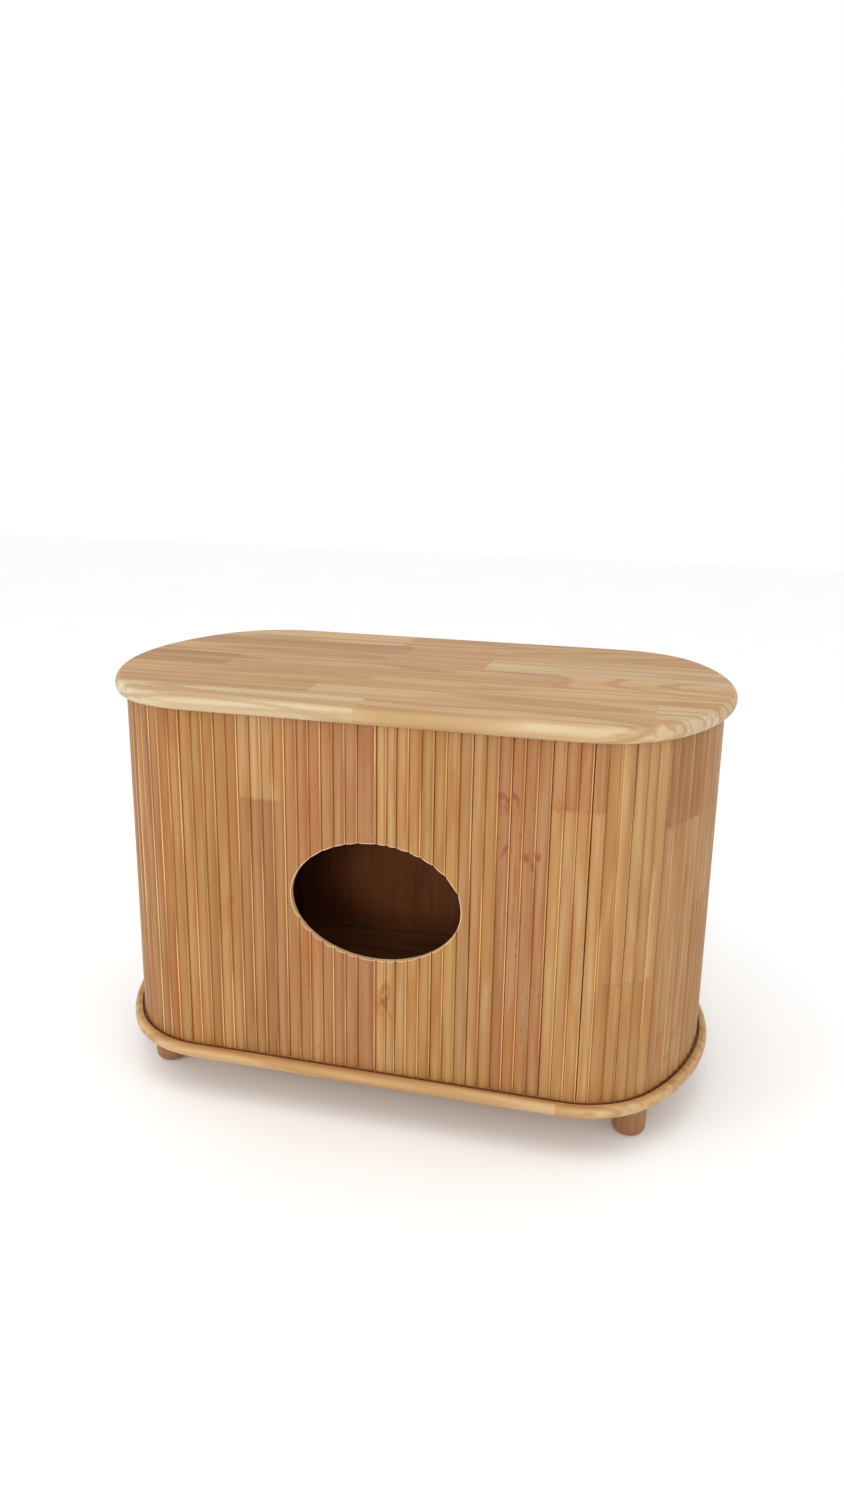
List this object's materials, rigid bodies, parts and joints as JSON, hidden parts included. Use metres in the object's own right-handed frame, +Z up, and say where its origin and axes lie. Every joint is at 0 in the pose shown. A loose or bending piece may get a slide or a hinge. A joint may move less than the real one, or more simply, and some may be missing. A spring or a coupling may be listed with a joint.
{
  "type": "cat litter box cabinet",
  "caption": "Round-ended wooden cabinet that hides a litter tray: fluted tambour doors with an oval entry hole slide round both ends, on short turned feet.",
  "frame": {"origin": "on the floor, under the middle of the cabinet", "axes": "+Z up, +X along the cabinet to the right, the front with the entry hole faces -Y"},
  "size_m": [0.9, 0.518, 0.606],
  "materials": {
    "top_wood": "clear satin lacquer, light honey planks",
    "base_wood": "clear satin lacquer, honey",
    "slat_wood": "clear satin lacquer, warm honey brown slats",
    "foot_wood": "clear satin lacquer, darker honey",
    "inner_wood": "clear satin lacquer, reddish brown",
    "dowel_wood": "bare beech",
    "bolt_steel": "zinc plated"
  },
  "bodies": {
    "carcass": {"back_board": "inner_wood", "base_panel": "base_wood", "dowel_front_left_lower": "dowel_wood", "dowel_front_left_upper": "dowel_wood", "dowel_front_right_lower": "dowel_wood", "dowel_front_right_upper": "dowel_wood", "dowel_rear_left_lower": "dowel_wood", "dowel_rear_left_upper": "dowel_wood", "dowel_rear_right_lower": "dowel_wood", "dowel_rear_right_upper": "dowel_wood", "foot_bolt_front_left": "bolt_steel", "foot_bolt_front_right": "bolt_steel", "foot_bolt_rear_left": "bolt_steel", "foot_bolt_rear_right": "bolt_steel", "foot_front_left": "foot_wood", "foot_front_right": "foot_wood", "foot_rear_left": "foot_wood", "foot_rear_right": "foot_wood", "left_partition": "inner_wood", "right_partition": "inner_wood", "top_panel": "top_wood"},
    "left_stile": {"left_stile_lower": "slat_wood", "left_stile_upper": "slat_wood"},
    "left_slats_01": {"left_slats_01_lower": "slat_wood", "left_slats_01_upper": "slat_wood"},
    "left_slats_02": {"left_slats_02": "slat_wood"},
    "left_slats_03": {"left_slats_03": "slat_wood"},
    "left_slats_04": {"left_slats_04": "slat_wood"},
    "left_slats_05": {"left_slats_05": "slat_wood"},
    "left_slats_06": {"left_slats_06": "slat_wood"},
    "left_slats_07": {"left_slats_07": "slat_wood"},
    "left_slats_08": {"left_slats_08": "slat_wood"},
    "left_slats_09": {"left_slats_09": "slat_wood"},
    "left_slats_10": {"left_slats_10": "slat_wood"},
    "left_slats_11": {"left_slats_11": "slat_wood"},
    "left_slats_12": {"left_slats_12": "slat_wood"},
    "left_slats_13": {"left_slats_13": "slat_wood"},
    "left_slats_14": {"left_slats_14": "slat_wood"},
    "left_slats_15": {"left_slats_15": "slat_wood"},
    "left_slats_16": {"left_slats_16": "slat_wood"},
    "right_stile": {"right_stile_lower": "slat_wood", "right_stile_upper": "slat_wood"},
    "right_slats_01": {"right_slats_01_lower": "slat_wood", "right_slats_01_upper": "slat_wood"},
    "right_slats_02": {"right_slats_02": "slat_wood"},
    "right_slats_03": {"right_slats_03": "slat_wood"},
    "right_slats_04": {"right_slats_04": "slat_wood"},
    "right_slats_05": {"right_slats_05": "slat_wood"},
    "right_slats_06": {"right_slats_06": "slat_wood"},
    "right_slats_07": {"right_slats_07": "slat_wood"},
    "right_slats_08": {"right_slats_08": "slat_wood"},
    "right_slats_09": {"right_slats_09": "slat_wood"},
    "right_slats_10": {"right_slats_10": "slat_wood"},
    "right_slats_11": {"right_slats_11": "slat_wood"},
    "right_slats_12": {"right_slats_12": "slat_wood"},
    "right_slats_13": {"right_slats_13": "slat_wood"},
    "right_slats_14": {"right_slats_14": "slat_wood"},
    "right_slats_15": {"right_slats_15": "slat_wood"},
    "right_slats_16": {"right_slats_16": "slat_wood"}
  },
  "joints": [
    {"name": "left_door_slide", "type": "slide", "parent": "carcass", "child": "left_stile", "axis": [-1, 0, 0], "range_m": [0, 0.24]},
    {"name": "left_slats_01_turn", "type": "hinge", "parent": "carcass", "child": "left_slats_01", "pos_m": [-0.1566, 1.34854, 0.333], "axis": [0, 0, -1], "range_deg": [0, 8.66]},
    {"name": "left_slats_02_turn", "type": "hinge", "parent": "carcass", "child": "left_slats_02", "pos_m": [-0.1818, 0.19411, 0.333], "axis": [0, 0, -1], "range_deg": [0, 31.4]},
    {"name": "left_slats_03_turn", "type": "hinge", "parent": "carcass", "child": "left_slats_03", "pos_m": [-0.207, 0.00841, 0.333], "axis": [0, 0, -1], "range_deg": [0, 54.14]},
    {"name": "left_slats_04_turn", "type": "hinge", "parent": "carcass", "child": "left_slats_04", "pos_m": [-0.21994, -0.03083, 0.333], "axis": [0, 0, -1], "range_deg": [0, 64.38]},
    {"name": "left_slats_05_turn", "type": "hinge", "parent": "carcass", "child": "left_slats_05", "pos_m": [-0.23444, -0.0532, 0.333], "axis": [0, 0, -1], "range_deg": [0, 73.31]},
    {"name": "left_slats_06_turn", "type": "hinge", "parent": "carcass", "child": "left_slats_06", "pos_m": [-0.22167, -0.04472, 0.333], "axis": [0, 0, -1], "range_deg": [0, 68.16]},
    {"name": "left_slats_07_turn", "type": "hinge", "parent": "carcass", "child": "left_slats_07", "pos_m": [-0.17344, -0.02041, 0.333], "axis": [0, 0, -1], "range_deg": [0, 54.35]},
    {"name": "left_slats_08_turn", "type": "hinge", "parent": "carcass", "child": "left_slats_08", "pos_m": [-0.1035, 0, 0.333], "axis": [0, 0, -1], "range_deg": [0, 42.51]},
    {"name": "left_slats_09_turn", "type": "hinge", "parent": "carcass", "child": "left_slats_09", "pos_m": [-0.1035, 0, 0.333], "axis": [0, 0, -1], "range_deg": [0, 42.51]},
    {"name": "left_slats_10_turn", "type": "hinge", "parent": "carcass", "child": "left_slats_10", "pos_m": [-0.1035, 0, 0.333], "axis": [0, 0, -1], "range_deg": [0, 42.51]},
    {"name": "left_slats_11_turn", "type": "hinge", "parent": "carcass", "child": "left_slats_11", "pos_m": [-0.19243, 0.02846, 0.333], "axis": [0, 0, -1], "range_deg": [0, 58.93]},
    {"name": "left_slats_12_turn", "type": "hinge", "parent": "carcass", "child": "left_slats_12", "pos_m": [-0.23979, 0.05885, 0.333], "axis": [0, 0, -1], "range_deg": [0, 76.3]},
    {"name": "left_slats_13_turn", "type": "hinge", "parent": "carcass", "child": "left_slats_13", "pos_m": [-0.21997, 0.03088, 0.333], "axis": [0, 0, -1], "range_deg": [0, 64.4]},
    {"name": "left_slats_14_turn", "type": "hinge", "parent": "carcass", "child": "left_slats_14", "pos_m": [-0.20284, -0.02736, 0.333], "axis": [0, 0, -1], "range_deg": [0, 50.39]},
    {"name": "left_slats_15_turn", "type": "hinge", "parent": "carcass", "child": "left_slats_15", "pos_m": [-0.17765, -0.25403, 0.333], "axis": [0, 0, -1], "range_deg": [0, 27.66]},
    {"name": "left_slats_16_turn", "type": "hinge", "parent": "carcass", "child": "left_slats_16", "pos_m": [-0.15665, -1.34053, 0.333], "axis": [0, 0, -1], "range_deg": [0, 8.71]},
    {"name": "right_door_slide", "type": "slide", "parent": "carcass", "child": "right_stile", "axis": [1, 0, 0], "range_m": [0, 0.24]},
    {"name": "right_slats_01_turn", "type": "hinge", "parent": "carcass", "child": "right_slats_01", "pos_m": [0.1621, 0.76904, 0.333], "axis": [0, 0, 1], "range_deg": [0, 13.63]},
    {"name": "right_slats_02_turn", "type": "hinge", "parent": "carcass", "child": "right_slats_02", "pos_m": [0.1873, 0.13367, 0.333], "axis": [0, 0, 1], "range_deg": [0, 36.36]},
    {"name": "right_slats_03_turn", "type": "hinge", "parent": "carcass", "child": "right_slats_03", "pos_m": [0.21065, -0.00601, 0.333], "axis": [0, 0, 1], "range_deg": [0, 57.41]},
    {"name": "right_slats_04_turn", "type": "hinge", "parent": "carcass", "child": "right_slats_04", "pos_m": [0.22289, -0.0365, 0.333], "axis": [0, 0, 1], "range_deg": [0, 66.33]},
    {"name": "right_slats_05_turn", "type": "hinge", "parent": "carcass", "child": "right_slats_05", "pos_m": [0.2379, -0.05697, 0.333], "axis": [0, 0, 1], "range_deg": [0, 75.26]},
    {"name": "right_slats_06_turn", "type": "hinge", "parent": "carcass", "child": "right_slats_06", "pos_m": [0.21327, -0.03942, 0.333], "axis": [0, 0, 1], "range_deg": [0, 65.15]},
    {"name": "right_slats_07_turn", "type": "hinge", "parent": "carcass", "child": "right_slats_07", "pos_m": [0.15886, -0.01514, 0.333], "axis": [0, 0, 1], "range_deg": [0, 51.34]},
    {"name": "right_slats_08_turn", "type": "hinge", "parent": "carcass", "child": "right_slats_08", "pos_m": [0.1035, 0, 0.333], "axis": [0, 0, 1], "range_deg": [0, 42.51]},
    {"name": "right_slats_09_turn", "type": "hinge", "parent": "carcass", "child": "right_slats_09", "pos_m": [0.1035, 0, 0.333], "axis": [0, 0, 1], "range_deg": [0, 42.51]},
    {"name": "right_slats_10_turn", "type": "hinge", "parent": "carcass", "child": "right_slats_10", "pos_m": [0.11108, 0.00172, 0.333], "axis": [0, 0, 1], "range_deg": [0, 43.53]},
    {"name": "right_slats_11_turn", "type": "hinge", "parent": "carcass", "child": "right_slats_11", "pos_m": [0.20318, 0.03377, 0.333], "axis": [0, 0, 1], "range_deg": [0, 61.94]},
    {"name": "right_slats_12_turn", "type": "hinge", "parent": "carcass", "child": "right_slats_12", "pos_m": [0.23628, 0.05527, 0.333], "axis": [0, 0, 1], "range_deg": [0, 74.36]},
    {"name": "right_slats_13_turn", "type": "hinge", "parent": "carcass", "child": "right_slats_13", "pos_m": [0.21716, 0.0247, 0.333], "axis": [0, 0, 1], "range_deg": [0, 62.45]},
    {"name": "right_slats_14_turn", "type": "hinge", "parent": "carcass", "child": "right_slats_14", "pos_m": [0.19734, -0.05739, 0.333], "axis": [0, 0, 1], "range_deg": [0, 45.43]},
    {"name": "right_slats_15_turn", "type": "hinge", "parent": "carcass", "child": "right_slats_15", "pos_m": [0.17215, -0.36371, 0.333], "axis": [0, 0, 1], "range_deg": [0, 22.69]},
    {"name": "right_slats_16_turn", "type": "hinge", "parent": "carcass", "child": "right_slats_16", "pos_m": [0.15535, -1.58674, 0.333], "axis": [0, 0, 1], "range_deg": [0, 7.54]}
  ],
  "couplings": [
    {"joint": "left_slats_01_turn", "follows": "left_door_slide", "rad_per_m": 0.62999},
    {"joint": "left_slats_02_turn", "follows": "left_door_slide", "rad_per_m": 2.2835},
    {"joint": "left_slats_03_turn", "follows": "left_door_slide", "rad_per_m": 3.937},
    {"joint": "left_slats_04_turn", "follows": "left_door_slide", "rad_per_m": 4.682},
    {"joint": "left_slats_05_turn", "follows": "left_door_slide", "rad_per_m": 5.3312},
    {"joint": "left_slats_06_turn", "follows": "left_door_slide", "rad_per_m": 4.9569},
    {"joint": "left_slats_07_turn", "follows": "left_door_slide", "rad_per_m": 3.9526},
    {"joint": "left_slats_08_turn", "follows": "left_door_slide", "rad_per_m": 3.0912},
    {"joint": "left_slats_09_turn", "follows": "left_door_slide", "rad_per_m": 3.0912},
    {"joint": "left_slats_10_turn", "follows": "left_door_slide", "rad_per_m": 3.0912},
    {"joint": "left_slats_11_turn", "follows": "left_door_slide", "rad_per_m": 4.2854},
    {"joint": "left_slats_12_turn", "follows": "left_door_slide", "rad_per_m": 5.5488},
    {"joint": "left_slats_13_turn", "follows": "left_door_slide", "rad_per_m": 4.6833},
    {"joint": "left_slats_14_turn", "follows": "left_door_slide", "rad_per_m": 3.6646},
    {"joint": "left_slats_15_turn", "follows": "left_door_slide", "rad_per_m": 2.0111},
    {"joint": "left_slats_16_turn", "follows": "left_door_slide", "rad_per_m": 0.63318},
    {"joint": "right_slats_01_turn", "follows": "right_door_slide", "rad_per_m": 0.99088},
    {"joint": "right_slats_02_turn", "follows": "right_door_slide", "rad_per_m": 2.6444},
    {"joint": "right_slats_03_turn", "follows": "right_door_slide", "rad_per_m": 4.1746},
    {"joint": "right_slats_04_turn", "follows": "right_door_slide", "rad_per_m": 4.8237},
    {"joint": "right_slats_05_turn", "follows": "right_door_slide", "rad_per_m": 5.4728},
    {"joint": "right_slats_06_turn", "follows": "right_door_slide", "rad_per_m": 4.7377},
    {"joint": "right_slats_07_turn", "follows": "right_door_slide", "rad_per_m": 3.7333},
    {"joint": "right_slats_08_turn", "follows": "right_door_slide", "rad_per_m": 3.0912},
    {"joint": "right_slats_09_turn", "follows": "right_door_slide", "rad_per_m": 3.0912},
    {"joint": "right_slats_10_turn", "follows": "right_door_slide", "rad_per_m": 3.1655},
    {"joint": "right_slats_11_turn", "follows": "right_door_slide", "rad_per_m": 4.5046},
    {"joint": "right_slats_12_turn", "follows": "right_door_slide", "rad_per_m": 5.4071},
    {"joint": "right_slats_13_turn", "follows": "right_door_slide", "rad_per_m": 4.5416},
    {"joint": "right_slats_14_turn", "follows": "right_door_slide", "rad_per_m": 3.3037},
    {"joint": "right_slats_15_turn", "follows": "right_door_slide", "rad_per_m": 1.6502},
    {"joint": "right_slats_16_turn", "follows": "right_door_slide", "rad_per_m": 0.54789}
  ]
}
